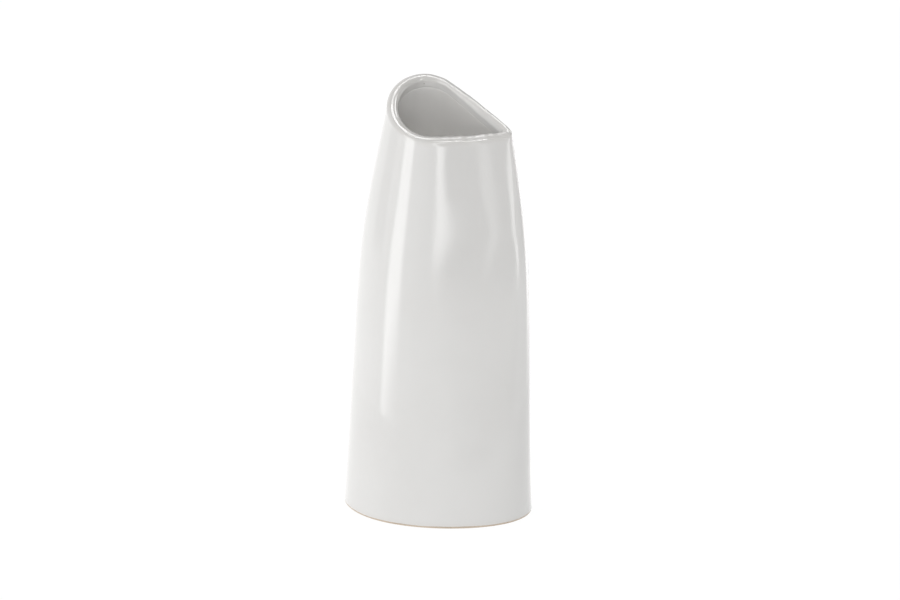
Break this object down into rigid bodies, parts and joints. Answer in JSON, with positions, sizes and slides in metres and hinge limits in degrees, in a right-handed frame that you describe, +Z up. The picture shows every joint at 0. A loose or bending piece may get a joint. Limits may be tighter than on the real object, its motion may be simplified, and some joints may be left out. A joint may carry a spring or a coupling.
{
  "type": "flower vase",
  "caption": "Free-standing flower vase: an egg-shaped foot, a wall that narrows to a teardrop mouth, and a thick rounded rim cut at a slant.",
  "frame": {"origin": "middle of the foot on the standing surface", "axes": "+Z up, -X towards the round lobe, +X towards the narrow nose, +Y towards the high side of the slanted rim"},
  "size_m": [0.1173, 0.0912, 0.2626],
  "materials": {
    "bare_clay": "fired, unglazed and matt; only the foot shows",
    "white_glaze": "glossy, smooth, slightly warm white",
    "liner_glaze": "glossy white liner coat"
  },
  "bodies": {
    "root": {"clay_body": "bare_clay", "outer_glaze": "white_glaze", "inner_glaze": "liner_glaze"}
  },
  "joints": []
}
